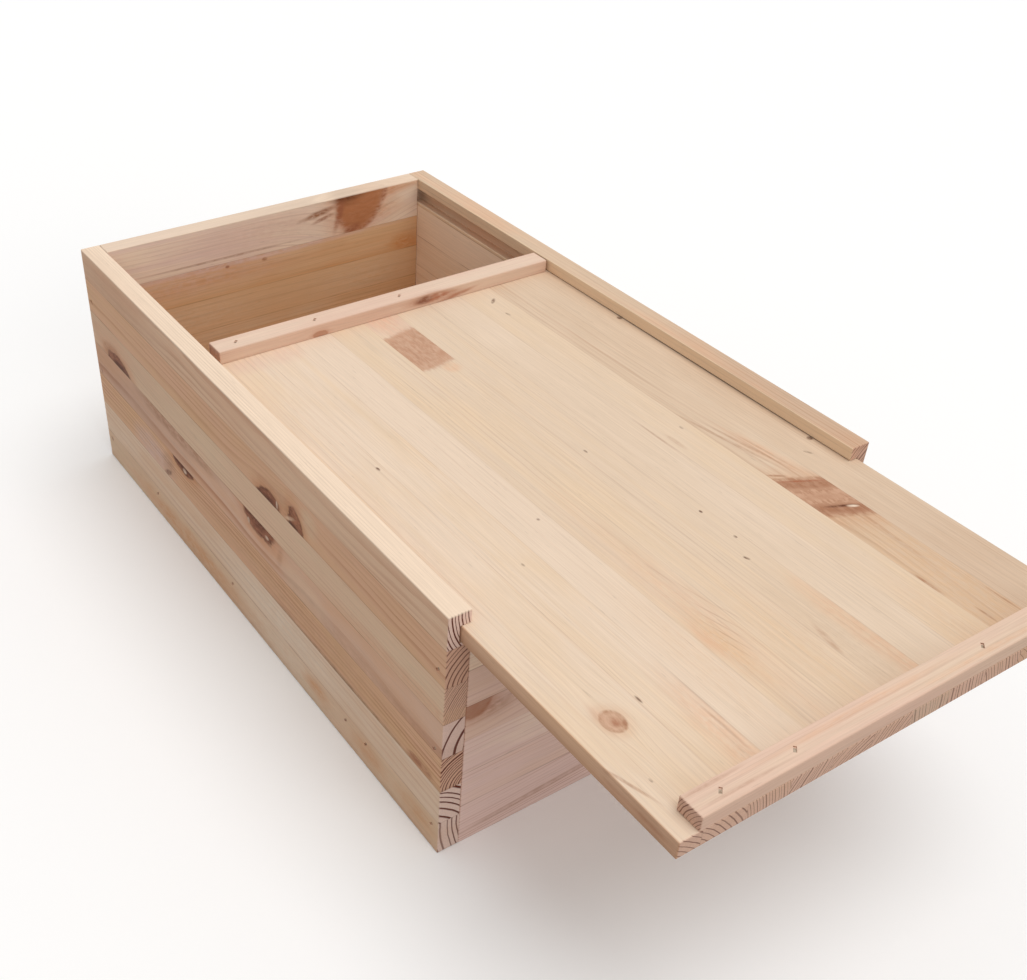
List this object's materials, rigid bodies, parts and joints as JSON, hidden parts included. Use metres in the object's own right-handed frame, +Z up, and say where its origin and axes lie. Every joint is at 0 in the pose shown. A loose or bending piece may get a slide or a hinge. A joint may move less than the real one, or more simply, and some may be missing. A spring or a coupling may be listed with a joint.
{
  "type": "sliding lid box",
  "caption": "Long pine box with a flat lid that slides lengthwise in grooves in its sides and comes off at the front; a batten and a handle bar cross the lid's ends.",
  "frame": {"origin": "centre of the box's footprint, on the surface that it stands on; the drawn-out lid doesn't count", "axes": "+X to the box's right, +Y to the back board, away from the end where the lid slides out, +Z up"},
  "size_m": [0.25, 0.532, 0.1503],
  "materials": {
    "pine": "planed and bare, matt",
    "inner_pine": "planed and bare, warmer and more orange, matt",
    "brad_steel": "bright wire"
  },
  "bodies": {
    "box": {"back_board_strip_1": "inner_pine", "back_board_strip_2": "inner_pine", "back_board_strip_3": "inner_pine", "back_board_strip_4": "inner_pine", "back_board_strip_5": "inner_pine", "back_board_strip_6": "inner_pine", "back_board_strip_7": "inner_pine", "back_corner_brads": "brad_steel", "bottom_board_strip_1": "inner_pine", "bottom_board_strip_2": "inner_pine", "bottom_board_strip_3": "inner_pine", "bottom_board_strip_4": "inner_pine", "bottom_board_strip_5": "inner_pine", "bottom_board_strip_6": "inner_pine", "bottom_board_strip_7": "inner_pine", "bottom_board_strip_8": "inner_pine", "bottom_board_strip_9": "inner_pine", "bottom_board_strip_10": "inner_pine", "bottom_end_brads": "brad_steel", "bottom_side_brads": "brad_steel", "front_board_strip_1": "pine", "front_board_strip_2": "pine", "front_board_strip_3": "pine", "front_board_strip_4": "pine", "front_board_strip_5": "pine", "front_board_strip_6": "pine", "front_corner_brads": "brad_steel", "left_side_strip_1": "pine", "left_side_strip_2": "pine", "left_side_strip_3": "pine", "left_side_strip_4": "pine", "left_side_strip_5": "pine", "left_side_strip_6": "pine", "left_side_strip_7": "pine", "right_side_strip_1": "pine", "right_side_strip_2": "pine", "right_side_strip_3": "pine", "right_side_strip_4": "pine", "right_side_strip_5": "pine", "right_side_strip_6": "pine", "right_side_strip_7": "pine"},
    "lid": {"batten_brads": "brad_steel", "handle_bar_brads": "brad_steel", "lid_batten": "pine", "lid_handle_bar": "pine", "lid_panel_strip_1": "pine", "lid_panel_strip_2": "pine", "lid_panel_strip_3": "pine", "lid_panel_strip_4": "pine", "lid_panel_strip_5": "pine", "lid_panel_strip_6": "pine", "lid_panel_strip_7": "pine", "lid_panel_strip_8": "pine", "lid_panel_strip_9": "pine", "lid_panel_strip_10": "pine", "lid_panel_strip_11": "pine"}
  },
  "joints": [
    {"name": "lid_slide", "type": "slide", "parent": "box", "child": "lid", "axis": [0, -1, 0], "range_m": [-0.132, 0.265]}
  ]
}
